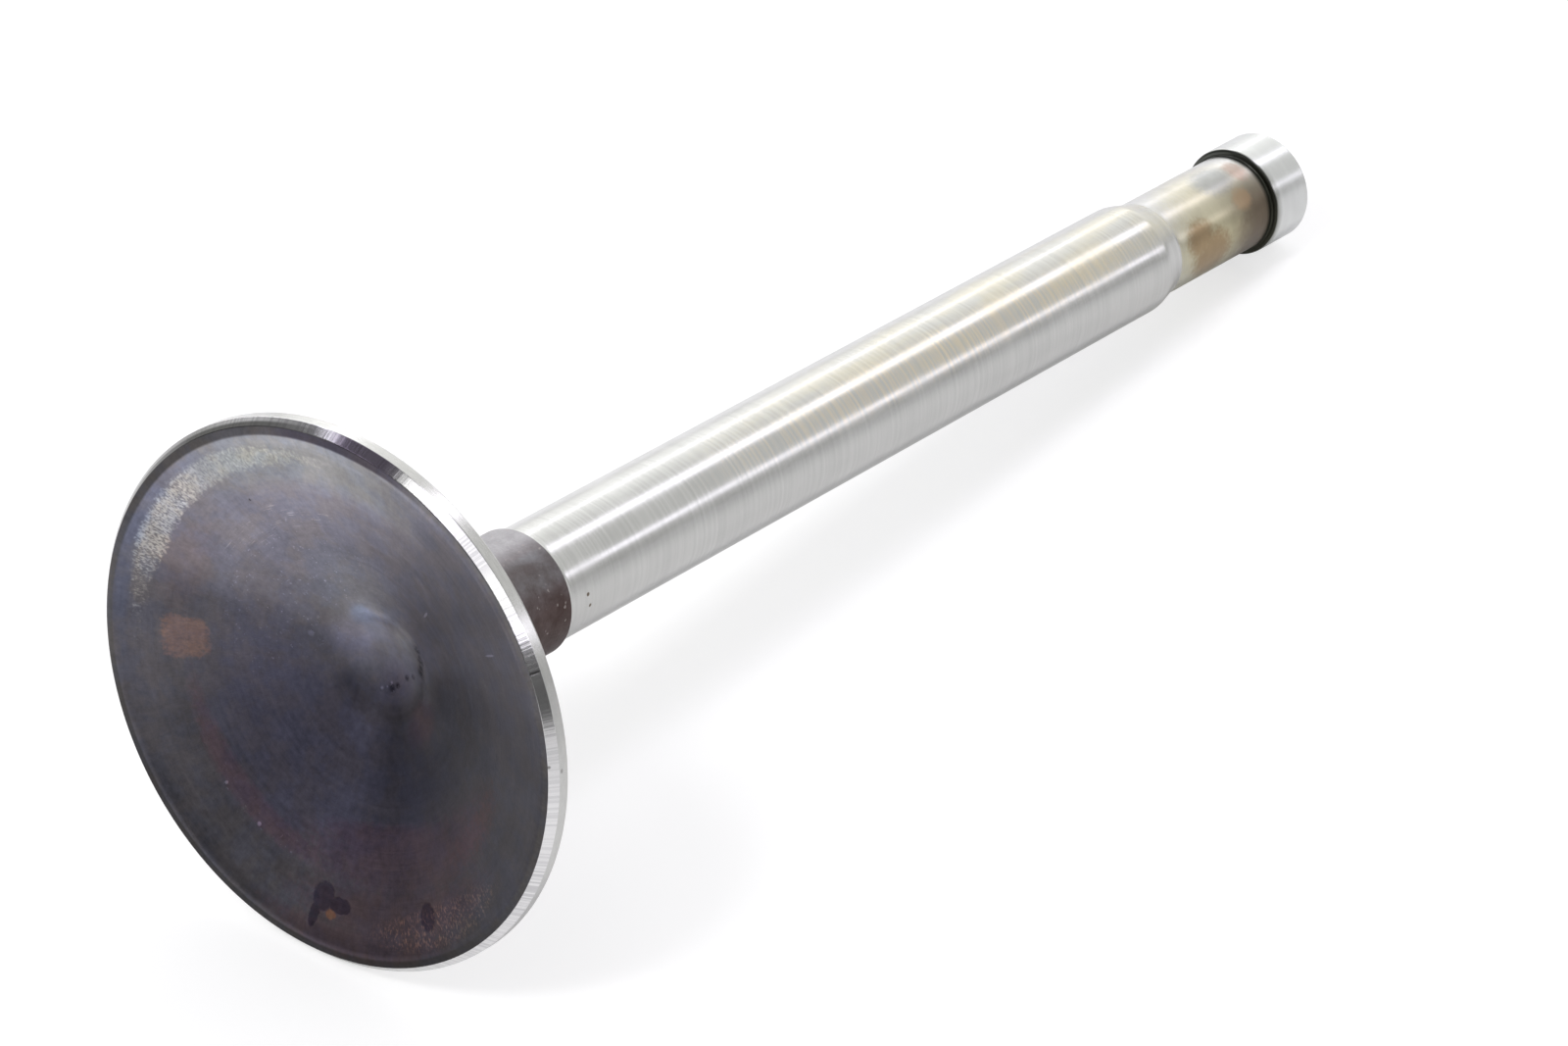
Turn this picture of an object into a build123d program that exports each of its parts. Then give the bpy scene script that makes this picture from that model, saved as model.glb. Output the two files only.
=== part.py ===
from build123d import *
from math import cos, radians, sqrt, tan
import os

# Engine poppet valve, forged from one bar and ground. Millimetres and degrees.
# +Z runs from the head up the stem, and Z = 0 is the rim of the face, on which the valve stands.

# The valve as a whole
overall_length = 117.0
stem_diameter = 9.0

# Edge of the head, from the face round to the seat
head_diameter = 41.0
rim_land_width = 0.65
rim_chamfer_width = 0.5
rim_chamfer_height = 0.62
margin_height = 0.88
seat_width = 1.9
seat_angle = 45.0
rim_edge_radius = 0.12

# Face: a turned dish that ends in the pocket left by the lathe centre
dish_depth = 6.1
dish_corner_radius = 1.5
pocket_diameter = 8.0
pocket_ball_radius = 8.0
pocket_edge_radius = 2.0

# Underside: a cone that sweeps up into the neck, which keeps its forged skin
underside_angle = 21.0
underside_sweep_radius = 15.5
neck_skin = 0.35
neck_length = 2.06
run_out_radius = 0.7

# Keeper end: a plain neck for the spring retainer's wedges, and the button at the tip
keeper_neck_depth = 0.55
keeper_neck_length = 12.8
keeper_taper_length = 2.2
keeper_taper_radius = 3.0
button_height = 5.0
button_step = 0.5
button_shoulder_radius = 0.15
button_edge_radius = 0.28
tip_chamfer = 0.6

# Radii that follow from the driving sizes
stem_radius = stem_diameter / 2
neck_radius = stem_radius + neck_skin
keeper_radius = stem_radius - keeper_neck_depth
button_radius = keeper_radius + button_step
head_radius = head_diameter / 2
face_radius = head_radius - rim_chamfer_width
dish_radius = face_radius - rim_land_width
pocket_radius = pocket_diameter / 2
seat_inner_radius = head_radius - seat_width

# Heights that follow, from the face to the tip. The cone and the neck would meet at
# underside_corner, and the sweep takes that corner away, no further out than the cone reaches.
pocket_top = dish_depth + pocket_ball_radius - sqrt(pocket_ball_radius**2 - pocket_radius**2)
seat_start = rim_chamfer_height + margin_height
seat_end = seat_start + seat_width * tan(radians(seat_angle))
cone_width = seat_inner_radius - neck_radius
cone_length = cone_width / cos(radians(underside_angle))
underside_corner = seat_end + cone_width * tan(radians(underside_angle))
sweep_share = tan(radians(90 - underside_angle) / 2)
sweep_radius = min(underside_sweep_radius, 0.9 * cone_length / sweep_share)
neck_end = underside_corner + sweep_radius * sweep_share + neck_length
stem_start = neck_end + sqrt(2 * run_out_radius * neck_skin - neck_skin**2)
button_start = overall_length - button_height
keeper_start = button_start - keeper_neck_length
stem_end = keeper_start - keeper_taper_length

# Corners of the section that are rounded, as radius and height, with the size of the rounding
rounded_corners = [
    ((pocket_radius, dish_depth), pocket_edge_radius),
    ((dish_radius, 0), dish_corner_radius),
    ((face_radius, 0), rim_edge_radius),
    ((head_radius, rim_chamfer_height), rim_edge_radius),
    ((head_radius, seat_start), rim_edge_radius),
    ((neck_radius, underside_corner), sweep_radius),
    ((stem_radius, stem_end), keeper_taper_radius),
    ((keeper_radius, keeper_start), keeper_taper_radius),
    ((keeper_radius, button_start), min(button_shoulder_radius, 0.3 * button_step)),
    ((button_radius, button_start), min(button_edge_radius, 0.6 * button_step)),
]

# The valve is one solid, turned about Z from half of its section
with BuildPart() as valve:
    with BuildSketch(Plane.XZ) as section:
        with BuildLine():
            face = Polyline((pocket_radius, dish_depth), (dish_radius, 0), (face_radius, 0))
            TangentArc((0, pocket_top), face @ 0, tangent=(1, 0))
            rim = Polyline(
                face @ 1,
                (head_radius, rim_chamfer_height),
                (head_radius, seat_start),
                (seat_inner_radius, seat_end),
            )
            underside = Polyline(rim @ 1, (neck_radius, underside_corner), (neck_radius, neck_end))
            TangentArc((stem_radius, stem_start), underside @ 1, tangent=(0, -1))
            Polyline(
                (stem_radius, stem_start),
                (stem_radius, stem_end),
                (keeper_radius, keeper_start),
                (keeper_radius, button_start),
                (button_radius, button_start),
                (button_radius, overall_length - tip_chamfer),
                (button_radius - tip_chamfer, overall_length),
                (0, overall_length),
                (0, pocket_top),
            )
        make_face()
        for corner, radius in rounded_corners:
            fillet(section.vertices().sort_by_distance(corner)[0], radius)
    revolve(axis=Axis.Z)

valve.part.label = "valve"
os.makedirs("parts", exist_ok=True)
export_step(valve.part, "parts/valve.step")
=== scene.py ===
import math

import bpy
from mathutils import Matrix, Vector


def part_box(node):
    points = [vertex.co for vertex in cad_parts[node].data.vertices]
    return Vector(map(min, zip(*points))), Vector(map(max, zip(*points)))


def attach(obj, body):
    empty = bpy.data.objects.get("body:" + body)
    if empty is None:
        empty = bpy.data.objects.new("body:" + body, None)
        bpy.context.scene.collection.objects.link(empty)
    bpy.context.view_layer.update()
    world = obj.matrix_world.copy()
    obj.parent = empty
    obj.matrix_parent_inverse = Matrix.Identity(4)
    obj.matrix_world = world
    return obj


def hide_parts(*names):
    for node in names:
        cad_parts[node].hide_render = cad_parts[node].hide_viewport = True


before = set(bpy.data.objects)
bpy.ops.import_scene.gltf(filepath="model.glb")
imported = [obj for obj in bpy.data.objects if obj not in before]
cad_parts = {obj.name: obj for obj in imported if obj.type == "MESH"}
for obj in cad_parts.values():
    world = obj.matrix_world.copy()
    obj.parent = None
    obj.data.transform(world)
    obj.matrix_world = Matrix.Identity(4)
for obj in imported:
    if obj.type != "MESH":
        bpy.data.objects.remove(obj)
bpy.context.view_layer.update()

MM = 0.001

# Sizes of the valve in millimetres. The head's radius and the length come from the frame.
_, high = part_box("valve")
head_radius = high[0] / MM
overall_length = high[2] / MM
stem_radius = 4.5
rim_land_width = 0.65
rim_chamfer_width = 0.5
rim_chamfer_height = 0.62
margin_height = 0.88
seat_width = 1.9
rim_edge_radius = 0.12
dish_depth = 6.1
dish_corner_radius = 1.5
pocket_radius = 4.0
pocket_ball_radius = 8.0
pocket_mouth_radius = 6.0
underside_angle = 21.0
underside_edge_radius = 0.2
underside_sweep_radius = 15.5
neck_skin = 0.35
neck_length = 2.06
neck_end_radius = 0.03
run_out_radius = 0.7
keeper_neck_depth = 0.55
keeper_neck_length = 12.8
keeper_taper_length = 2.2
keeper_taper_radius = 3.0
button_height = 5.0
button_step = 0.5
button_shoulder_radius = 0.15
button_edge_radius = 0.28
tip_chamfer = 0.6
tip_edge_radius = 0.1

# Fineness of the mesh: parts of a turn, and rows in the pocket and the run-out. Each straight
# span also has a short row at both of its ends.
segments = 300
ball_rows = 14
mouth_rows = 6
run_out_rows = 6
end_row = 0.03
weld_distance = 1e-7

# Finishes in the order in which the outline meets them, from the centre of the face to the tip,
# each with its longest row
longest_rows = {
    "face": 0.3,
    "rim": 0.3,
    "margin": 0.4,
    "underside": 0.6,
    "stem": 2.5,
    "keeper_neck": 0.8,
    "button": 0.8,
}
FINISHES = list(longest_rows)

# Radii and heights that follow
neck_radius = stem_radius + neck_skin
keeper_radius = stem_radius - keeper_neck_depth
button_radius = keeper_radius + button_step
face_radius = head_radius - rim_chamfer_width
dish_radius = face_radius - rim_land_width
seat_inner_radius = head_radius - seat_width
seat_start = rim_chamfer_height + margin_height
seat_end = seat_start + seat_width
underside_slope = math.tan(math.radians(underside_angle))
underside_corner = seat_end + (seat_inner_radius - neck_radius) * underside_slope
sweep_reach = underside_sweep_radius * math.tan((math.pi / 2 - math.atan(underside_slope)) / 2)
neck_end = underside_corner + sweep_reach + neck_length
stem_start = neck_end + math.sqrt(2 * run_out_radius * neck_skin - neck_skin**2)
button_start = overall_length - button_height
keeper_start = button_start - keeper_neck_length
stem_end = keeper_start - keeper_taper_length


def rounding(before, corner, after, radius, steps):
    """Points of the arc that rounds a corner of the outline."""
    to_before = (Vector(before) - Vector(corner)).normalized()
    to_after = (Vector(after) - Vector(corner)).normalized()
    half = to_before.angle(to_after) / 2
    centre = Vector(corner) + (to_before + to_after).normalized() * (radius / math.sin(half))
    start = Vector(corner) + to_before * (radius / math.tan(half)) - centre
    end = Vector(corner) + to_after * (radius / math.tan(half)) - centre
    turn = start.angle(end)
    points = []
    for step in range(steps + 1):
        share = step / steps
        along = start * math.sin((1 - share) * turn) + end * math.sin(share * turn)
        points.append(centre + along / math.sin(turn))
    return points


def pocket_points():
    """The ball pocket, from its centre to where its rounded mouth meets the dish."""
    mouth_angle = math.asin(pocket_radius / pocket_ball_radius)
    ball_centre = dish_depth - pocket_ball_radius * math.cos(mouth_angle)
    slope = math.atan(dish_depth / (dish_radius - pocket_radius))
    normal = Vector((math.sin(slope), math.cos(slope)))
    across = Vector((normal.y, -normal.x))
    # centre of the mouth's arc, which touches the ball and the dish from the steel's side
    level = normal.dot(Vector((pocket_radius, dish_depth - ball_centre))) + pocket_mouth_radius
    along = math.sqrt((pocket_ball_radius + pocket_mouth_radius) ** 2 - level**2)
    centre = normal * level + across * along
    turn = math.atan2(centre.x, centre.y)
    points = []
    for step in range(ball_rows + 1):
        angle = turn * step / ball_rows
        points.append(Vector((math.sin(angle), math.cos(angle))) * pocket_ball_radius)
    for step in range(1, mouth_rows + 1):
        angle = turn + (slope - turn) * step / mouth_rows
        points.append(centre - Vector((math.sin(angle), math.cos(angle))) * pocket_mouth_radius)
    return [(point.x, point.y + ball_centre) for point in points]


def outline():
    """Half of the valve's section, from the pocket to the tip.

    Each corner is its radius and height, the radius and rows of its rounding, and the finish
    that starts there.
    """
    corners = [(radius, height, 0, 0, "face") for radius, height in pocket_points()]
    run_out_turn = math.acos(1 - neck_skin / run_out_radius)
    corners += [
        (dish_radius, 0, dish_corner_radius, 8, "face"),
        (face_radius, 0, rim_edge_radius, 4, "rim"),
        (head_radius, rim_chamfer_height, rim_edge_radius, 3, "margin"),
        (head_radius, seat_start, rim_edge_radius, 3, "margin"),
        (seat_inner_radius, seat_end, underside_edge_radius, 3, "underside"),
        (neck_radius, underside_corner, underside_sweep_radius, 24, "underside"),
        (neck_radius, neck_end, neck_end_radius, 2, "stem"),
    ]
    for step in range(1, run_out_rows + 1):
        angle = run_out_turn * (1 - step / run_out_rows)
        radius = stem_radius + run_out_radius * (1 - math.cos(angle))
        corners.append((radius, stem_start - run_out_radius * math.sin(angle), 0, 0, "stem"))
    corners += [
        (stem_radius, stem_end, keeper_taper_radius, 6, "stem"),
        (keeper_radius, keeper_start, keeper_taper_radius, 6, "keeper_neck"),
        (keeper_radius, button_start, button_shoulder_radius, 4, "keeper_neck"),
        (button_radius, button_start, button_edge_radius, 5, "button"),
        (button_radius, overall_length - tip_chamfer, tip_edge_radius, 3, "button"),
        (button_radius - tip_chamfer, overall_length, tip_edge_radius, 3, "button"),
        (0, overall_length, 0, 0, "button"),
    ]
    return corners


def outline_points(corners):
    """Rounds the corners, and divides the straight spans between them into short rows."""
    rounded = []
    for i, (radius, height, size, steps, finish) in enumerate(corners):
        here = (radius, height)
        if size:
            arc = rounding(corners[i - 1][:2], here, corners[i + 1][:2], size, steps)
        else:
            arc = [Vector(here)]
        rounded.append((arc, finish))
    points = []
    for (arc, finish), (next_arc, _) in zip(rounded, rounded[1:] + [([], "")]):
        number = FINISHES.index(finish)
        before = points[-1][2] if points else number
        middle = len(arc) // 2
        # a rounded corner changes its finish half way round
        for k, point in enumerate(arc):
            points.append((point.x, point.y, number if k >= middle else before))
        if not next_arc:
            break
        span = next_arc[0] - arc[-1]
        if span.length < 3 * end_row:
            continue
        between = span.length - 2 * end_row
        rows = max(1, math.ceil(between / longest_rows[finish]))
        for row in range(rows + 1):
            place = end_row + between * row / rows
            point = arc[-1] + span * (place / span.length)
            points.append((point.x, point.y, number))
    return points


class Wiring:
    """Adds nodes to a tree and joins them. A value is a number, a vector, a colour or a socket."""

    def __init__(self, tree):
        self.tree = tree

    def node(self, kind, inputs=None, **settings):
        made = self.tree.nodes.new(kind)
        for name, value in settings.items():
            setattr(made, name, value)
        for name, value in (inputs or {}).items():
            self.feed(made.inputs[name], value)
        return made

    def feed(self, socket, value):
        if hasattr(value, "is_output"):
            self.tree.links.new(value, socket)
        else:
            socket.default_value = value

    def maths(self, operation, *values):
        made = self.node("ShaderNodeMath", operation=operation)
        for socket, value in zip(made.inputs, values):
            self.feed(socket, value)
        return made.outputs[0]

    def product(self, *values):
        """Several values multiplied in turn."""
        result = values[0]
        for value in values[1:]:
            result = self.maths("MULTIPLY", result, value)
        return result

    def vector(self, operation, *values):
        made = self.node("ShaderNodeVectorMath", operation=operation)
        for socket, value in zip(made.inputs, values):
            self.feed(socket, value)
        return made.outputs["Value" if operation in ("LENGTH", "DISTANCE", "DOT_PRODUCT") else "Vector"]

    def scaled(self, vector, factor):
        """A vector or a colour times a number."""
        made = self.node("ShaderNodeVectorMath", operation="SCALE")
        self.feed(made.inputs[0], vector)
        self.feed(made.inputs["Scale"], factor)
        return made.outputs[0]

    def step(self, value, low, high, at_low=0.0, at_high=1.0):
        """A smooth change from at_low to at_high while the value goes from low to high."""
        ends = {"From Min": low, "From Max": high, "To Min": at_low, "To Max": at_high}
        inputs = {"Value": value, **ends}
        return self.node("ShaderNodeMapRange", inputs, interpolation_type="SMOOTHSTEP").outputs[0]

    def blend(self, share, first, second):
        """A colour between two others."""
        made = self.node("ShaderNodeMix", data_type="RGBA")
        self.feed(made.inputs["Factor"], share)
        # the node's two colour inputs, 6 and 7, share their names with its other inputs
        for place, colour in ((6, first), (7, second)):
            self.feed(made.inputs[place], (*colour, 1) if isinstance(colour, tuple) else colour)
        return made.outputs[2]

    def noise(self, place, scale, detail=2.0, roughness=0.5):
        """Noise about 0.5, at so many waves to the unit of its place."""
        inputs = {"Vector": place, "Scale": scale, "Detail": detail, "Roughness": roughness}
        return self.node("ShaderNodeTexNoise", inputs).outputs["Fac"]


def turning_tree(materials):
    """Geometry nodes that turn an outline about Z and give each stretch its finish."""
    tree = bpy.data.node_groups.new("turned_part", "GeometryNodeTree")
    sockets = [
        ("Outline", "INPUT", "NodeSocketGeometry"),
        ("Segments", "INPUT", "NodeSocketInt"),
        ("Rows", "INPUT", "NodeSocketInt"),
        ("Weld Distance", "INPUT", "NodeSocketFloat"),
        ("Turned Part", "OUTPUT", "NodeSocketGeometry"),
    ]
    for name, side, kind in sockets:
        tree.interface.new_socket(name, in_out=side, socket_type=kind)
    wiring = Wiring(tree)
    node, maths, product, feed = wiring.node, wiring.maths, wiring.product, wiring.feed

    # a grid with a row for each point of the outline and a column for each part of the turn
    sizes = node("NodeGroupInput").outputs
    across = maths("ADD", sizes["Segments"], 1.0)
    grid = node("GeometryNodeMeshGrid", {"Vertices X": sizes["Rows"], "Vertices Y": across})
    index = node("GeometryNodeInputIndex").outputs[0]
    row = maths("FLOOR", maths("DIVIDE", maths("ADD", index, 0.5), across))
    column = maths("SUBTRACT", index, product(row, across))
    turn = product(maths("DIVIDE", column, sizes["Segments"]), 2 * math.pi)

    def from_outline(value, kind):
        """What the outline's own point has, for each point of the grid."""
        sample = node("GeometryNodeSampleIndex", data_type=kind)
        feed(sample.inputs["Geometry"], sizes["Outline"])
        feed(sample.inputs["Value"], value)
        feed(sample.inputs["Index"], row)
        return sample.outputs[0]

    # the grid bent round Z, with its faces outwards
    place = from_outline(node("GeometryNodeInputPosition").outputs[0], "FLOAT_VECTOR")
    apart = node("ShaderNodeSeparateXYZ", {"Vector": place}).outputs
    spot = node("ShaderNodeCombineXYZ")
    feed(spot.inputs["X"], product(apart["X"], maths("SINE", turn)))
    feed(spot.inputs["Y"], product(apart["X"], -1.0, maths("COSINE", turn)))
    feed(spot.inputs["Z"], apart["Z"])
    turned = node("GeometryNodeSetPosition", {"Geometry": grid.outputs["Mesh"]})
    feed(turned.inputs["Position"], spot.outputs[0])
    outwards = node("GeometryNodeFlipFaces", {"Mesh": turned.outputs[0]})

    # each point keeps its finish, and the weld closes the seam and both poles
    given = node("GeometryNodeInputNamedAttribute", {"Name": "finish"}, data_type="INT").outputs[0]
    keep = node("GeometryNodeStoreNamedAttribute", data_type="FLOAT", domain="POINT")
    feed(keep.inputs["Geometry"], outwards.outputs[0])
    feed(keep.inputs["Name"], "finish")
    feed(keep.inputs["Value"], from_outline(given, "FLOAT"))
    weld = node("GeometryNodeMergeByDistance", {"Geometry": keep.outputs[0]})
    feed(weld.inputs["Distance"], sizes["Weld Distance"])
    smooth = node("GeometryNodeSetShadeSmooth", {"Geometry": weld.outputs[0]})
    real = node("GeometryNodeRealizeInstances", {"Geometry": smooth.outputs[0]})

    # a face between two finishes takes the earlier one
    stored = node("GeometryNodeInputNamedAttribute", {"Name": "finish"}, data_type="FLOAT").outputs[0]
    on_faces = node("GeometryNodeFieldOnDomain", domain="FACE")
    feed(on_faces.inputs[0], stored)
    number = maths("FLOOR", maths("ADD", on_faces.outputs[0], 0.01))
    last = real.outputs[0]
    for place_in_list, name in enumerate(FINISHES):
        same = maths("COMPARE", number, float(place_in_list), 0.1)
        dress = node("GeometryNodeSetMaterial", {"Geometry": last, "Selection": same})
        dress.inputs["Material"].default_value = materials[name]
        last = dress.outputs[0]
    feed(node("NodeGroupOutput").inputs[0], last)
    return tree


def turned_valve(materials):
    """The valve as one smooth turned mesh."""
    points = outline_points(outline())
    mesh = bpy.data.meshes.new("valve_outline")
    verts = [(radius * MM, 0.0, height * MM) for radius, height, _ in points]
    mesh.from_pydata(verts, [(i, i + 1) for i in range(len(points) - 1)], [])
    kinds = mesh.attributes.new("finish", "INT", "POINT")
    for i, (_, _, number) in enumerate(points):
        kinds.data[i].value = number
    lathe = bpy.data.objects.new("valve_lathe", mesh)
    bpy.context.scene.collection.objects.link(lathe)
    modifier = lathe.modifiers.new("turning", "NODES")
    modifier.node_group = turning_tree(materials)
    sizes = {"Segments": segments, "Rows": len(points), "Weld Distance": weld_distance}
    for item in modifier.node_group.interface.items_tree:
        if item.name in sizes:
            modifier[item.identifier] = sizes[item.name]
    evaluated = lathe.evaluated_get(bpy.context.evaluated_depsgraph_get())
    made = bpy.data.meshes.new_from_object(evaluated)
    bpy.data.objects.remove(lathe)
    made.name = "valve_body"
    valve = bpy.data.objects.new("valve_body", made)
    bpy.context.scene.collection.objects.link(valve)
    return valve


class Finish(Wiring):
    """A steel finish, wired in millimetres, with turns in degrees about the stem from -Y towards +X."""

    def __init__(self, name):
        self.material = bpy.data.materials.new(name)
        self.material.use_nodes = True
        super().__init__(self.material.node_tree)
        self.shader = self.tree.nodes["Principled BSDF"]
        self.shader.inputs["Metallic"].default_value = 1.0
        self.place = self.scaled(self.node("ShaderNodeTexCoord").outputs["Object"], 1 / MM)
        self.height = self.node("ShaderNodeSeparateXYZ", {"Vector": self.place}).outputs["Z"]
        self.flat = self.vector("MULTIPLY", self.place, (1.0, 1.0, 0.0))
        self.radius = self.vector("LENGTH", self.flat)
        self.outward = self.vector("NORMALIZE", self.flat)
        self.crumbs = self.noise(self.place, 3.1, detail=3.0)

    def facing(self, turn):
        """The cosine of the angle between the side at a turn and each place's own side."""
        angle = math.radians(turn)
        return self.vector("DOT_PRODUCT", self.outward, (math.sin(angle), -math.cos(angle), 0.0))

    def side(self, turn, low, high):
        """1 on the side at a turn, fading as the cosine of the angle from it goes from high to low."""
        return self.step(self.facing(turn), low, high)

    def spot(self, turn, spread, along, centre, half, soft=0.5, ragged=0.0, squared=False):
        """1 inside an oval spot, as wide as spread degrees each way and as long as half each way."""
        gap = self.maths("SUBTRACT", 1.0, self.facing(turn))
        around = self.maths("DIVIDE", gap, 1 - math.cos(math.radians(spread)))
        off = self.maths("DIVIDE", self.maths("SUBTRACT", along, centre), half)
        off = self.product(off, off)
        if squared:
            around = self.product(around, around)
            off = self.product(off, off)
        out = self.maths("ADD", around, off)
        if ragged:
            edge = self.product(self.maths("SUBTRACT", self.crumbs, 0.5), 4.0 * ragged)
            out = self.maths("ADD", out, edge)
        return self.step(out, 1.0 - soft, 1.0 + soft, 1.0, 0.0)

    def dab(self, turn, radius, size):
        """A round spot about a point of the face, 1 at the point and half as much at its size."""
        angle = math.radians(turn)
        point = (radius * math.sin(angle), -radius * math.cos(angle), 0.0)
        off = self.vector("DISTANCE", self.flat, point)
        return self.step(off, 0.1 * size, 1.9 * size, 1.0, 0.0)

    def all_of(self, spots):
        """The strongest of several masks at each place."""
        most = spots[0]
        for spot in spots[1:]:
            most = self.maths("MAXIMUM", most, spot)
        return most

    def lined(self, across, along, fineness, detail):
        """Noise in lines: of a place across them, and so many waves to the millimetre of a value."""
        lift = self.node("ShaderNodeCombineXYZ", {"Z": self.product(along, fineness)}).outputs[0]
        return self.noise(self.vector("ADD", across, lift), 1.0, detail)

    def grain(self, around, along, fineness, detail=2.0):
        """Noise in lines that end, so many waves to a radian of the turn and to the millimetre."""
        return self.lined(self.scaled(self.outward, around), along, fineness, detail)

    def rings(self, along, fineness, detail):
        """Noise in rings that are even all round."""
        return self.lined(self.scaled(self.place, 0.05), along, fineness, detail)

    def about_one(self, noise, amount):
        """A noise turned into a factor about 1."""
        swing = self.step(noise, 0.0, 1.0, -1.0, 1.0)
        return self.maths("ADD", self.product(swing, amount), 1.0)

    def level(self, mask, change):
        """A factor that is 1 outside a mask, and 1 and the change inside it."""
        return self.maths("ADD", self.product(mask, change), 1.0)

    def tinted(self, colour, mask, factor, strength=1.0):
        """A colour multiplied by another where a mask is 1."""
        share = self.product(mask, strength)
        return self.vector("MULTIPLY", colour, self.blend(share, (1.0, 1.0, 1.0), factor))

    def done(self, colour, roughness, relief, depth):
        """Sets the colour and roughness, and a relief of so many millimetres."""
        bump = self.node("ShaderNodeBump", {"Height": relief, "Distance": depth * MM, "Strength": 1.0})
        self.feed(self.shader.inputs["Base Color"], colour)
        self.feed(self.shader.inputs["Roughness"], roughness)
        self.feed(self.shader.inputs["Normal"], bump.outputs["Normal"])
        return self.material


def face_scale():
    """The dish: dark grey-blue scale with heat colours, deposits, scratches and lathe rings."""
    f = Finish("face_scale")
    turned = f.rings(f.radius, 3.4, detail=4.0)
    cloud = f.noise(f.place, 0.3, detail=5.0, roughness=0.6)
    mottle = f.noise(f.place, 1.9, detail=5.0, roughness=0.7)
    brush = f.grain(130.0, f.radius, 0.9, detail=2.0)
    flecks = f.grain(115.0, f.radius, 3.8, detail=4.0)
    off_centre = f.step(f.radius, 0.8, 4.5)
    outer = f.step(f.radius, 5.0, 18.0)
    past_pocket = f.step(f.radius, 4.5, 9.0)

    # painted light on the bright side and painted shade on the dull side, with more painted light and
    # shade at other turns, none of them at the centre
    bright = f.product(f.side(296, 0.38, 0.97), off_centre)
    dull = f.product(f.side(72, 0.38, 0.88), off_centre)
    tone = f.maths("ADD", 0.84, f.product(bright, f.step(outer, 0.0, 1.0, 0.55, 1.5)))
    inner = f.product(off_centre, f.step(f.radius, 15.0, 19.0, 1.0, 0.0))
    tone = f.product(
        tone,
        f.level(dull, f.step(outer, 0.0, 1.0, -0.62, -0.46)),
        f.level(f.side(126, 0.7, 0.98), f.product(off_centre, 0.26)),
        f.level(f.side(207, 0.8, 0.99), f.product(inner, -0.22)),
        f.level(f.side(336, 0.85, 0.99), f.product(outer, -0.25)),
        f.level(f.side(267, 0.85, 0.99), f.product(outer, -0.2)),
        f.about_one(cloud, 0.25),
        f.about_one(mottle, 0.27),
        f.about_one(turned, 0.09),
        f.about_one(brush, f.product(past_pocket, 0.06)),
    )

    # rim of the dish and its flat lip: painted light and shade on the rounded rim, and a darker lip
    # with painted shade on its upper side and painted light and shade at other turns
    edge = f.step(f.radius, 17.6, 19.0)
    painted_rim_light_and_shade = f.maths("SUBTRACT", f.side(312, 0.6, 0.95), f.side(150, 0.2, 0.9))
    tone = f.product(tone, f.level(edge, f.product(painted_rim_light_and_shade, 0.25)))
    upper_lip = f.side(285, 0.5, 0.85)
    lip_place = f.maths("ADD", f.radius, f.product(upper_lip, 0.12))
    lip_place = f.maths("SUBTRACT", lip_place, f.product(f.side(347, 0.85, 0.97), 0.16))
    lip = f.step(lip_place, dish_radius + 0.02, dish_radius + 0.25)
    # painted light towards 18 degrees and painted shade towards 150 degrees on the lip
    lip_light_and_shade = f.maths("SUBTRACT", f.side(18, 0.25, 0.85), f.side(150, 0.3, 0.9))
    lip_tone_and_light = f.maths("ADD", -0.12, f.product(bright, -0.42))
    lip_tone_and_light = f.maths("ADD", lip_tone_and_light, f.product(lip_light_and_shade, 0.35))
    violet = f.product(lip, f.side(313, 0.93, 0.99))
    tone = f.product(
        tone,
        f.level(lip, lip_tone_and_light),
        f.level(lip, f.product(upper_lip, -0.38)),
        f.level(violet, -0.33),
    )

    # colour of the scale, more neutral towards the upper edge and bluer about the centre
    hue = f.step(f.noise(f.place, 0.5, detail=5.0, roughness=0.6), 0.4, 0.6)
    scale = f.scaled(f.blend(hue, (0.16, 0.149, 0.162), (0.148, 0.146, 0.177)), tone)
    scale = f.tinted(scale, bright, (0.99, 0.985, 0.99))
    upper = f.product(f.side(300, 0.75, 0.98), f.step(f.radius, 14.5, 16.5))
    upper = f.product(upper, f.maths("SUBTRACT", 1.0, lip))
    scale = f.tinted(scale, upper, (1.04, 1.1, 1.0))
    scale = f.tinted(scale, violet, (0.98, 0.92, 1.1))
    # painted light: a lighter patch on the upper side, near the edge
    scale = f.tinted(scale, f.spot(318, 17, f.radius, 16.5, 2.1, soft=0.9), (1.27, 1.27, 1.26))
    scale = f.tinted(scale, lip, (1.0, 1.0, 0.9))
    indigo = f.spot(150, 75, f.radius, 8.5, 6.0, soft=0.8, ragged=0.25)
    scale = f.tinted(scale, indigo, (0.88, 0.88, 1.06))

    # heat colours
    maroon = f.all_of([
        f.spot(102, 40, f.radius, 13.4, 2.2, soft=0.8, ragged=0.5),
        f.spot(112, 26, f.radius, 11.9, 1.2, soft=0.6, ragged=0.3),
        f.spot(166, 34, f.radius, 14.3, 0.8, soft=0.8, ragged=0.5),
        f.spot(118, 26, f.radius, 18.7, 1.0, soft=0.8, ragged=0.4),
        f.spot(108, 30, f.radius, 16.6, 1.9, soft=0.8, ragged=0.5),
        f.spot(72, 20, f.radius, 5.0, 1.2, soft=0.9, ragged=0.4),
    ])
    scale = f.tinted(scale, maroon, (1.28, 0.96, 0.98), 0.8)
    faint = f.spot(240, 14, f.radius, 15.0, 1.6, soft=0.9, ragged=0.7)
    scale = f.tinted(scale, faint, (1.12, 0.99, 0.95), 0.6)
    rust = f.spot(68, 15, f.radius, 13.9, 0.9, soft=0.8, ragged=0.8)
    scale = f.tinted(scale, rust, (1.2, 0.97, 0.9), 0.55)

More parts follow.
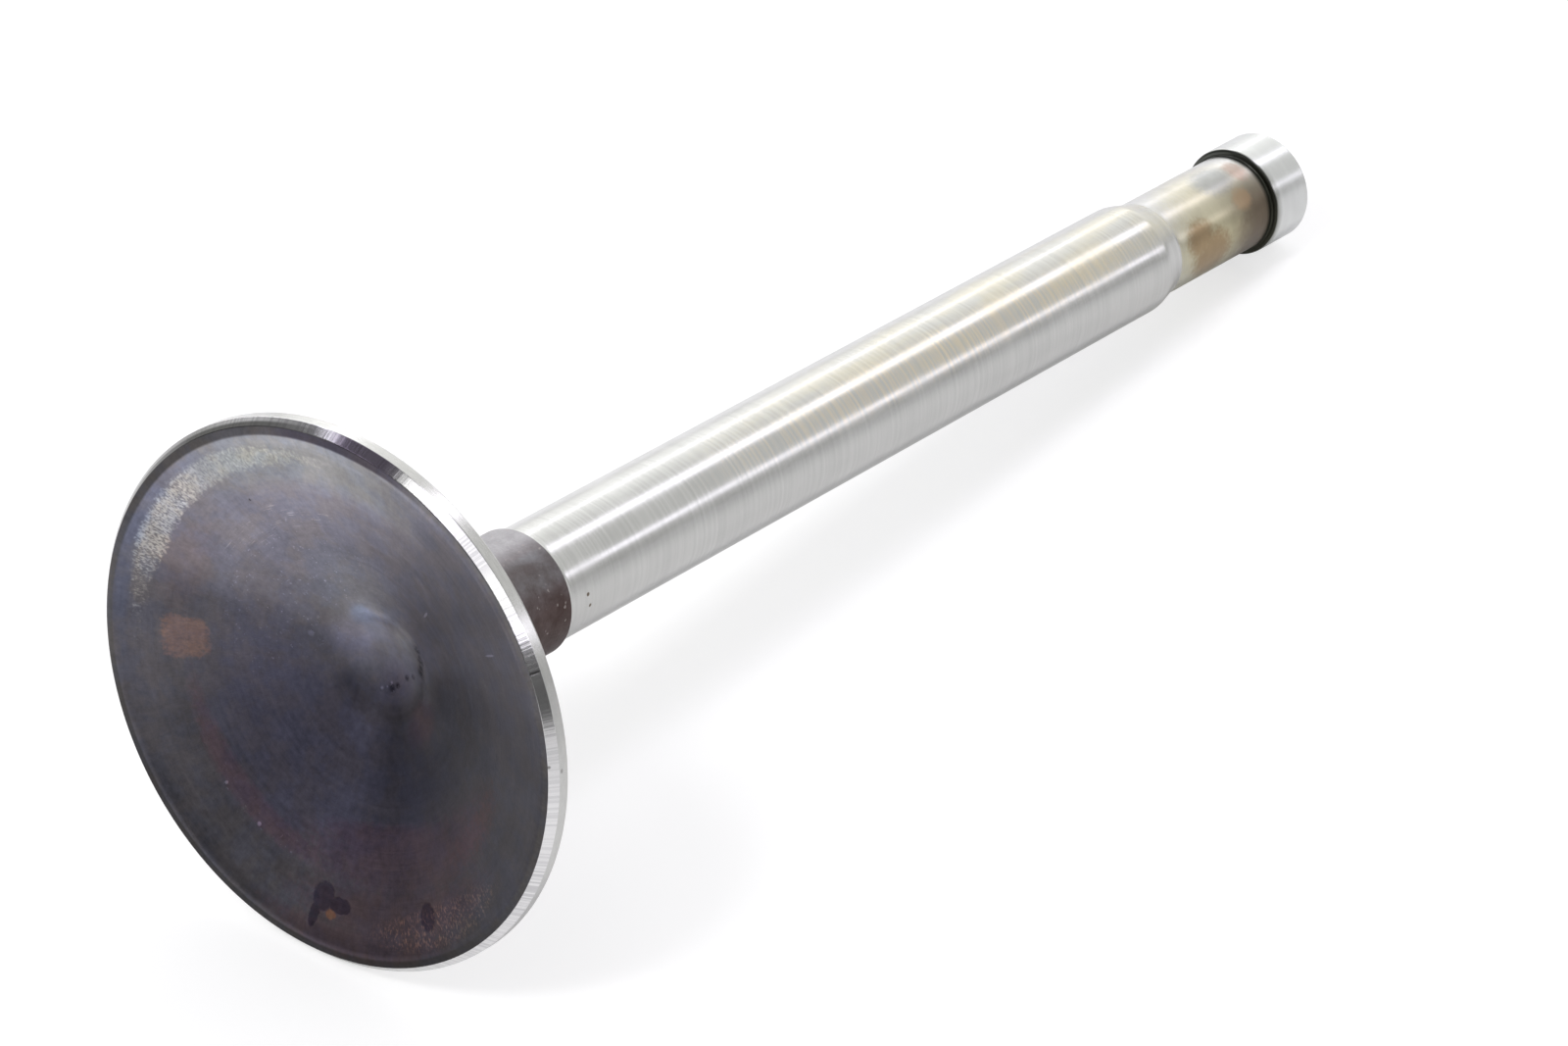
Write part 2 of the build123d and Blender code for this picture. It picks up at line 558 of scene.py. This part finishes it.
    # brown streaks and dark drops near the lower edge
    streaked = f.product(f.step(flecks, 0.46, 0.64), f.step(f.crumbs, 0.35, 0.6))
    streaks = f.product(f.spot(94, 21, f.radius, 17.7, 1.35, soft=0.6, ragged=0.35), streaked)
    scale = f.tinted(scale, streaks, (2.75, 2.15, 1.6))
    drops = f.all_of([
        f.spot(98, 2.4, f.radius, 16.9, 0.95, soft=0.3, ragged=0.2),
        f.spot(132.4, 3.2, f.radius, 16.35, 1.0, soft=0.25, ragged=0.22),
        f.spot(127, 3.4, f.radius, 16.6, 0.55, soft=0.25, ragged=0.22),
        f.spot(133.6, 1.3, f.radius, 17.7, 0.95, soft=0.3, ragged=0.2),
    ])
    scale = f.tinted(scale, drops, (0.5, 0.5, 0.62))
    ochre = f.spot(129, 1.4, f.radius, 17.3, 0.32, soft=0.6, ragged=0.3)
    scale = f.tinted(scale, ochre, (1.9, 1.35, 0.85))

    # orange deposit at the left
    orange = f.spot(216.5, 6.2, f.radius, 14.4, 1.6, soft=0.75, ragged=0.7, squared=True)
    orange = f.product(orange, f.step(flecks, 0.35, 0.6, 0.6, 1.0))
    scale = f.tinted(scale, orange, (2.0, 1.42, 1.1))

    # worn band with bare flecks, and the colours of oil beside it
    band = f.all_of([
        f.spot(262, 37, f.radius, 17.65, 0.95, soft=0.6, ragged=0.6),
        f.spot(242, 12, f.radius, 17.6, 1.05, soft=0.4, ragged=0.4),
    ])
    scale = f.tinted(scale, band, (1.18, 1.19, 1.11))
    sparse = f.maths("SUBTRACT", flecks, f.product(f.side(227, 0.965, 0.995), 0.09))
    worn = f.product(band, f.step(sparse, 0.34, 0.6))
    scale = f.tinted(scale, worn, (1.41, 1.42, 1.36))
    bare = f.product(worn, f.side(240, 0.86, 0.97))
    scale = f.tinted(scale, bare, (1.58, 1.59, 1.51))
    oil = f.spot(240, 27, f.radius, 18.9, 0.6, soft=0.8, ragged=0.3)
    scale = f.tinted(scale, oil, (0.93, 1.0, 1.12))

    # fine scratches and pale specks on the bright side
    fine = f.grain(9.0, f.radius, 11.0, detail=2.0)
    scratched = f.spot(276, 24, f.radius, 12.7, 1.2, soft=0.9, ragged=0.8)
    scale = f.tinted(scale, f.product(scratched, f.step(fine, 0.62, 0.7)), (1.8, 1.72, 1.6))
    dust = f.noise(f.place, 3.4, detail=3.0, roughness=0.7)
    dusty = f.all_of([
        f.spot(262, 60, f.radius, 8.3, 4.6, soft=0.9),
        f.spot(160, 30, f.radius, 14.8, 0.8, soft=0.9),
    ])
    specks = f.product(dusty, f.step(dust, 0.6, 0.76))
    scale = f.tinted(scale, specks, (2.0, 2.0, 2.1))
    # pale marks; the three dabs at the bottom of the pocket are painted glints
    marks = f.all_of([
        f.spot(349, 0.6, f.radius, 9.0, 0.4, soft=0.7),
        f.spot(10.5, 0.3, f.radius, 15.4, 0.6, soft=0.7),
        f.spot(158.5, 0.6, f.radius, 15.0, 0.15, soft=0.7),
        f.spot(173, 0.45, f.radius, 15.0, 0.13, soft=0.7),
        f.dab(142, 2.02, 0.1),
        f.dab(116, 1.4, 0.09),
        f.dab(130, 1.75, 0.06),
    ])
    scale = f.tinted(scale, marks, (2.2, 2.2, 2.3))
    nick = f.spot(231, 2.2, f.radius, 5.8, 0.2, soft=0.9)
    scale = f.tinted(scale, nick, (1.5, 1.5, 1.6))

    # the pocket: painted light and shade, lightest on its upper side, with a painted blue highlight at
    # its mouth and pits at its right
    painted_pocket_light_and_shade = [
        (298, 5.8, 3.1, (1.23, 1.3, 1.27)),
        (26, 3.1, 3.2, (1.57, 1.56, 1.56)),
        (298, 3.6, 1.5, (1.72, 1.72, 1.77)),
        (242, 3.1, 1.3, (1.62, 1.64, 1.88)),
        (350, 3.4, 1.1, (1.94, 1.99, 1.81)),
        (95, 1.6, 1.5, (0.49, 0.47, 0.56)),
        (36, 3.8, 1.2, (1.76, 1.78, 1.69)),
        (251, 3.8, 3.2, (0.79, 0.79, 0.77)),
    ]
    for turn, radius, size, tint in painted_pocket_light_and_shade:
        scale = f.tinted(scale, f.dab(turn, radius, size), tint)
    painted_blue_highlight = f.spot(287, 17, f.radius, 4.1, 0.75, soft=0.9, ragged=0.2)
    scale = f.tinted(scale, painted_blue_highlight, (1.12, 1.2, 1.3))
    pits = f.all_of([
        f.spot(275, 0.35, f.radius, 14.6, 0.09, soft=0.6),
        f.dab(1.5, 4.4, 0.3),
        f.dab(8, 4.25, 0.16),
        f.dab(13, 4.1, 0.27),
        f.dab(20, 3.85, 0.24),
        f.dab(27, 3.6, 0.3),
        f.dab(41, 2.45, 0.17),
        f.dab(54, 1.8, 0.18),
        f.dab(96, 1.6, 0.18),
        f.dab(115, 1.75, 0.28),
    ])
    pits = f.product(pits, f.step(f.noise(f.place, 5.0), 0.3, 0.44))
    scale = f.tinted(scale, pits, (0.25, 0.25, 0.28))

    rough = f.maths("ADD", 0.39, f.product(f.maths("SUBTRACT", mottle, 0.5), 0.22))
    rough = f.maths("SUBTRACT", rough, f.product(worn, 0.08))
    relief = f.maths("ADD", f.product(turned, 0.6), f.product(mottle, 0.4))
    relief = f.product(relief, past_pocket)
    relief = f.maths("SUBTRACT", relief, pits)
    relief = f.maths("ADD", relief, f.product(drops, 0.6))
    return f.done(scale, rough, relief, depth=0.02)


def rim_steel():
    """The chamfer: bright steel with the tool's marks across it, and painted shade in darker stretches
    round it.
    """
    f = Finish("rim_steel")
    ladder = f.noise(f.scaled(f.outward, 100.0), 1.0, detail=1.0)
    patches = f.noise(f.scaled(f.outward, 4.0), 1.0, detail=2.0)
    strength = f.step(patches, 0.35, 0.65, 0.3, 1.0)
    marks = f.product(f.step(ladder, 0.42, 0.6), strength)
    steel = f.blend(marks, (0.8, 0.795, 0.79), (0.6, 0.595, 0.6))
    inner = f.step(f.radius, 20.2, 20.34, 1.0, 0.0)
    # painted shade: darker stretches round the chamfer, at turns where it mirrors dark surroundings
    painted_shade_stretches = [
        (f.side(-76, 0.8, 0.98), (0.85, 0.85, 0.87)),
        (f.side(-13, 0.988, 0.998), (0.76, 0.75, 0.78)),
        (f.side(-105, 0.78, 0.97), (0.5, 0.5, 0.48)),
        (f.product(inner, f.side(-92, 0.72, 0.93)), (0.27, 0.27, 0.26)),
        (f.side(-40.5, 0.986, 0.9972), (0.52, 0.46, 0.58)),
    ]
    for stretch, tint in painted_shade_stretches:
        steel = f.tinted(steel, stretch, tint)
    nicks = f.all_of([
        f.spot(34.3, 0.35, f.radius, 20.03, 0.1, soft=0.7),
        f.spot(15.0, 0.3, f.radius, 20.2, 0.3, soft=0.7),
    ])
    steel = f.blend(f.product(nicks, 0.7), steel, (0.09, 0.08, 0.08))
    relief = f.maths("SUBTRACT", f.product(marks, 0.35), nicks)
    return f.done(steel, 0.17, relief, depth=0.004)


def margin_steel():
    """The margin and the seat: ground steel, with a dull contact band on the seat."""
    f = Finish("margin_steel")
    ground = f.grain(1.5, f.height, 22.0, detail=3.0)
    cross = f.noise(f.vector("MULTIPLY", f.place, (1.0, 1.0, 2.5)), 1.3, detail=4.0, roughness=0.6)
    tone = f.product(f.about_one(ground, 0.07), f.about_one(cross, 0.08))
    steel = f.scaled((0.57, 0.57, 0.55), tone)
    band_low = f.step(f.height, seat_start + 0.45, seat_start + 0.65)
    band = f.product(band_low, f.step(f.height, seat_end - 0.5, seat_end - 0.3, 1.0, 0.0))
    steel = f.blend(f.product(band, 0.55), steel, (0.36, 0.35, 0.35))
    soot = f.step(f.height, seat_end - 0.35, seat_end + 0.02)
    sooty = f.product(soot, f.step(cross, 0.35, 0.65, 0.2, 0.9))
    steel = f.blend(sooty, steel, (0.12, 0.09, 0.075))
    nick = f.spot(35.6, 0.45, f.height, 0.85, 0.12, soft=0.8)
    steel = f.blend(f.product(nick, 0.5), steel, (0.12, 0.11, 0.1))
    rough = f.maths("ADD", 0.21, f.product(band, 0.15))
    relief = f.maths("SUBTRACT", f.product(ground, 0.4), nick)
    return f.done(steel, rough, relief, depth=0.012)


def forged_skin():
    """The underside and the neck: dark brown scale of the forging."""
    f = Finish("forged_skin")
    cloud = f.noise(f.place, 0.45, detail=5.0, roughness=0.6)
    grit = f.noise(f.place, 4.5, detail=4.0, roughness=0.7)
    flow = f.grain(3.0, f.radius, 1.2, detail=3.0)
    tone = f.product(f.about_one(cloud, 0.3), f.about_one(grit, 0.22))
    tone = f.product(tone, f.about_one(flow, 0.15))
    brown = f.blend(f.step(cloud, 0.35, 0.65), (0.1, 0.075, 0.071), (0.125, 0.105, 0.105))
    # painted highlight: the neck is pale on the side at -80 degrees
    pale = f.product(f.side(-80, 0.42, 0.85), f.step(f.radius, 5.1, 6.6, 1.0, 0.0))
    brown = f.blend(pale, brown, (0.4, 0.39, 0.4))
    for turn, spread, tint in ((-8, 16, (1.4, 1.6, 1.65)), (45, 26, (0.78, 0.68, 0.64))):
        patch = f.spot(turn, spread, f.height, 19.5, 4.0, soft=0.8, ragged=0.15)
        brown = f.tinted(brown, patch, tint)
    deposit = f.step(f.radius, 9.0, 17.0)
    brown = f.blend(f.product(deposit, 0.6), brown, (0.075, 0.058, 0.05))
    skin = f.scaled(brown, tone)
    specks = f.step(f.noise(f.place, 2.2, detail=1.0), 0.7, 0.76)
    skin = f.blend(f.product(specks, 0.6), skin, (0.4, 0.36, 0.34))
    relief = f.maths("ADD", f.product(grit, 0.6), f.product(cloud, 0.4))
    return f.done(skin, f.maths("ADD", 0.42, f.product(grit, 0.16)), relief, depth=0.05)


def stem_steel():
    """The stem: ground steel with fine lines round it and a faint straw and rose tint."""
    f = Finish("stem_steel")
    lines = f.grain(0.3, f.height, 4.0, detail=2.0)
    cloud = f.noise(f.vector("MULTIPLY", f.place, (1.0, 1.0, 0.35)), 0.5, detail=4.0)
    tone = f.product(f.about_one(lines, 0.09), f.about_one(cloud, 0.06))
    steel = f.scaled((0.556, 0.558, 0.538), tone)

    # straw and rose tints
    straw = f.spot(-32, 34, f.height, 80.0, 34.0, soft=0.9, ragged=0.25)
    straw = f.product(straw, f.step(cloud, 0.35, 0.65, 0.2, 1.0))
    steel = f.tinted(steel, straw, (1.04, 0.99, 0.86))
    rose = f.spot(-8, 20, f.height, 68.0, 24.0, soft=0.9, ragged=0.4)
    rose = f.product(rose, f.step(lines, 0.4, 0.6))
    steel = f.tinted(steel, rose, (1.08, 1.0, 0.88), 0.8)
    pits = f.all_of([
        f.spot(33.2, 1.9, f.height, 23.7, 0.16, soft=0.6),
        f.spot(45.5, 1.7, f.height, 23.95, 0.14, soft=0.6),
    ])
    steel = f.blend(pits, steel, (0.16, 0.13, 0.1))
    relief = f.maths("SUBTRACT", f.product(lines, 0.5), pits)
    return f.done(steel, f.step(cloud, 0.3, 0.7, 0.19, 0.25), relief, depth=0.003)


def keeper_steel():
    """The keeper neck: steel tinted by heat, with brown oil stains towards the button, and painted
    light and shade on its sides.
    """
    f = Finish("keeper_steel")
    cloud = f.noise(f.place, 0.7, detail=5.0, roughness=0.6)
    lines = f.grain(1.0, f.height, 7.0, detail=4.0)
    # painted light and shade: lighter and greyer on the side at -70 degrees, darker and more yellow on
    # the far side
    base = f.blend(f.side(-70, -0.2, 0.8), (0.5, 0.49, 0.41), (0.58, 0.58, 0.57))
    straw = f.spot(10, 75, f.height, 105.5, 6.0, soft=0.9, ragged=0.2)
    base = f.tinted(base, straw, (1.0, 0.94, 0.74))
    stain = f.all_of([
        f.spot(47, 30, f.height, 103.6, 2.5, soft=0.7, ragged=0.3),
        f.spot(22, 22, f.height, 102.2, 1.8, soft=0.8, ragged=0.3),
    ])
    base = f.blend(f.product(stain, 0.85), base, (0.28, 0.19, 0.1))
    cool = f.spot(-36, 22, f.height, 107.3, 2.2, soft=0.8, ragged=0.3)
    base = f.blend(f.product(cool, 0.7), base, (0.33, 0.35, 0.37))
    # painted shade: darker brown towards the button, on the side at 42 degrees
    drift = f.product(f.maths("SUBTRACT", cloud, 0.5), 3.5)
    dusk = f.step(f.maths("ADD", f.height, drift), 104.4, 110.0)
    dark = f.product(dusk, f.side(42, 0.1, 0.98))
    base = f.blend(f.product(dark, 0.92), base, (0.115, 0.085, 0.06))
    rust = f.spot(2, 13, f.height, 108.6, 1.1, soft=0.8, ragged=0.4)
    base = f.blend(f.product(rust, 0.5), base, (0.42, 0.28, 0.16))
    rose = f.spot(-32, 16, f.height, 110.3, 0.9, soft=0.8, ragged=0.4)
    base = f.blend(f.product(rose, 0.6), base, (0.45, 0.31, 0.26))
    edge = f.step(f.height, 111.2, 111.85)
    base = f.blend(f.product(edge, 0.9), base, (0.035, 0.04, 0.03))
    tone = f.product(f.about_one(cloud, 0.12), f.about_one(lines, 0.05))
    rough = f.step(dark, 0.0, 1.0, 0.3, 0.42)
    relief = f.product(lines, 0.5)
    return f.done(f.scaled(base, tone), rough, relief, depth=0.008)


def button_steel():
    """The tip button: hardened and ground bright, with a dark ring at its shoulder and painted shade on
    one side just above it.
    """
    f = Finish("button_steel")
    lines = f.grain(1.2, f.height, 10.0, detail=4.0)
    cloud = f.noise(f.place, 0.8, detail=4.0)
    tone = f.product(f.about_one(lines, 0.06), f.about_one(cloud, 0.05))
    steel = f.scaled((0.63, 0.64, 0.625), tone)
    shoulder = f.step(f.height, button_start + 0.02, button_start + 0.3, 1.0, 0.0)
    # painted shade: darker on the side at 60 degrees, just above the shoulder
    dull = f.step(f.height, button_start + 0.2, button_start + 0.9, 1.0, 0.0)
    steel = f.tinted(steel, f.product(dull, f.side(60, 0.0, 0.8)), (0.6, 0.6, 0.57))
    steel = f.blend(f.product(shoulder, 0.85), steel, (0.05, 0.055, 0.045))
    rings = f.grain(0.8, f.radius, 6.0, detail=4.0)
    end = f.step(f.height, overall_length - 0.05, overall_length - 0.01)
    steel = f.blend(f.product(end, f.step(rings, 0.4, 0.62, 0.0, 0.5)), steel, (0.4, 0.39, 0.38))
    return f.done(steel, 0.25, f.product(lines, 0.5), depth=0.006)


materials = {
    "face": face_scale(),
    "rim": rim_steel(),
    "margin": margin_steel(),
    "underside": forged_skin(),
    "stem": stem_steel(),
    "keeper_neck": keeper_steel(),
    "button": button_steel(),
}
valve = turned_valve(materials)
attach(valve, "root")
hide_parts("valve")

# The surface on which the photographed valve lies, touching it at the margin and at the button
lie_turn = math.radians(313.2)
lie_lean = math.atan2(head_radius - button_radius, overall_length - tip_chamfer - seat_start)
bench_out = Vector((math.sin(lie_turn), -math.cos(lie_turn), 0))
bench_normal = bench_out * math.cos(lie_lean) - Vector((0, 0, 1)) * math.sin(lie_lean)
bench_touch = (-bench_out * head_radius + Vector((0, 0, seat_start))) * MM

# Camera at the photograph's place, level with the bench
camera_place = Vector((0, -361.83, -327.14)) * MM
camera_forward = Vector((0.0094, 0.69352, 0.72038)).normalized()
camera_right = camera_forward.cross(bench_normal).normalized()
camera_up = camera_right.cross(camera_forward)
camera_data = bpy.data.cameras.new("camera")
camera_data.lens = 162
camera_data.sensor_width = 36
camera_data.clip_start = 0.01
camera_data.clip_end = 20
camera = bpy.data.objects.new("camera", camera_data)
turned = Matrix((camera_right, camera_up, -camera_forward)).transposed()
camera.matrix_world = Matrix.Translation(camera_place) @ turned.to_4x4()
bpy.context.scene.collection.objects.link(camera)
bpy.context.scene.camera = camera


def bench():
    """The white surface under the photographed valve, which is seen from its own side alone."""
    reach = 3.0
    mesh = bpy.data.meshes.new("bench")
    corners = [(-reach, -reach, 0), (reach, -reach, 0), (reach, reach, 0), (-reach, reach, 0)]
    mesh.from_pydata(corners, [], [(0, 1, 2, 3)])
    surface = bpy.data.objects.new("bench", mesh)
    turned = bench_normal.to_track_quat("Z", "Y").to_matrix().to_4x4()
    surface.matrix_world = Matrix.Translation(bench_touch) @ turned
    material = bpy.data.materials.new("bench_white")
    material.use_nodes = True
    material.node_tree.nodes.clear()
    wiring = Wiring(material.node_tree)
    white = wiring.node("ShaderNodeEmission", {"Strength": 1.3}).outputs[0]
    rays = wiring.node("ShaderNodeLightPath").outputs
    place = wiring.node("ShaderNodeNewGeometry").outputs["Position"]
    apart = wiring.node("ShaderNodeSeparateXYZ", {"Vector": place}).outputs

    # as the steel mirrors it, the paper is darker on the near side and lighter past the valve: painted
    # shade and light, seen in reflections alone
    far = wiring.product(wiring.step(apart["Y"], 0.0, 0.05), wiring.step(apart["Z"], -0.01, 0.03))
    near = wiring.step(apart["Y"], -0.07, -0.01, -0.26, 0.0)
    change = wiring.maths("ADD", near, wiring.product(far, 0.28))
    mirrored = wiring.maths("ADD", 1.0, wiring.product(rays["Is Glossy Ray"], change))
    paper = wiring.scaled((0.83, 0.83, 0.83), mirrored)

    # as the camera sees it, the paper turns plain white away from the valve
    seen = wiring.step(wiring.vector("LENGTH", place), 0.5, 1.0, 0.42, 0.92)
    share = wiring.maths("ADD", 0.08, wiring.product(rays["Is Camera Ray"], seen))
    matt = wiring.node("ShaderNodeBsdfDiffuse", {"Color": paper}).outputs[0]
    shown = wiring.node("ShaderNodeMixShader", {0: share, 1: matt, 2: white}).outputs[0]
    clear = wiring.node("ShaderNodeBsdfTransparent").outputs[0]
    behind = wiring.node("ShaderNodeNewGeometry").outputs["Backfacing"]
    sided = wiring.node("ShaderNodeMixShader", {0: behind, 1: shown, 2: clear}).outputs[0]
    wiring.node("ShaderNodeOutputMaterial", {"Surface": sided})
    mesh.materials.append(material)
    bpy.context.scene.collection.objects.link(surface)


def area_lamp(name, middle, along, size, length, radiance):
    """A rectangular lamp that faces the valve, with its length along a direction."""
    valve_middle = Vector((0, 0, 0.05))
    lamp_data = bpy.data.lights.new(name, "AREA")
    lamp_data.shape = "RECTANGLE"
    lamp_data.size = size
    lamp_data.size_y = length
    lamp_data.energy = radiance * math.pi * size * length
    lamp = bpy.data.objects.new(name, lamp_data)
    back = (middle - valve_middle).normalized()
    up = (along - back * along.dot(back)).normalized()
    axes = Matrix((up.cross(back), up, back)).transposed()
    lamp.matrix_world = Matrix.Translation(middle) @ axes.to_4x4()
    lamp.visible_camera = False
    bpy.context.scene.collection.objects.link(lamp)
    return lamp


def strip_lamps():
    """Three long strips beside the valve, where its stem, margin and chamfer mirror them."""
    reach, top, bottom = 1.2, 1.6, -1.36
    strips = {
        "strip_left": (-99.5, -78.4, 0.065, 2.2),
        "strip_middle": (-44.4, -36.9, 0.26, 1.7),
        "strip_right": (14.2, 11.1, 0.16, 1.6),
    }
    for name, (turn_top, turn_bottom, width, radiance) in strips.items():
        ends = []
        for turn, height in ((turn_top, top), (turn_bottom, bottom)):
            angle = math.radians(turn)
            ends.append(Vector((reach * math.sin(angle), -reach * math.cos(angle), height)))
        along = ends[0] - ends[1]
        lamp = area_lamp(name, (ends[0] + ends[1]) / 2, along, width, along.length, radiance)
        lamp.data.color = (0.99, 0.95, 1.09)


def studio_world():
    """Light from over the bench, which fades towards the photographer's side."""
    world = bpy.data.worlds.new("studio")
    world.use_nodes = True
    background = world.node_tree.nodes["Background"]
    wiring = Wiring(world.node_tree)
    toward = wiring.node("ShaderNodeTexCoord").outputs["Generated"]
    over = wiring.vector("DOT_PRODUCT", toward, tuple(bench_normal))
    apart = wiring.node("ShaderNodeSeparateXYZ", {"Vector": toward}).outputs
    sky = wiring.step(apart["Z"], -0.3, 0.45, 0.15, 1.05)
    sky = wiring.product(sky, wiring.step(apart["Y"], -0.8, 0.7, 0.74, 1.92))
    horizon = wiring.step(over, 0.0, 0.35, 0.66, 1.0)
    above = wiring.step(over, -0.01, 0.01)
    room = wiring.blend(above, (0.84, 0.84, 0.84), wiring.product(sky, horizon))
    seen = wiring.node("ShaderNodeLightPath").outputs["Is Camera Ray"]
    wiring.feed(background.inputs["Color"], wiring.blend(seen, room, (1.0, 1.0, 1.0)))
    bpy.context.scene.world = world


bench()
strip_lamps()
upright = Vector((0, 0, 1))
front_place = Vector((-0.29, -0.806, -0.515)) * 1.3
key_place = Vector((-0.559, -0.459, -0.69)) * 1.5
area_lamp("front_panel", front_place, upright, size=1.6, length=0.28, radiance=1.7)
key = area_lamp("key", key_place, upright, size=0.3, length=0.3, radiance=30)
key.visible_glossy = False
studio_world()
bpy.context.scene.view_settings.view_transform = "Standard"
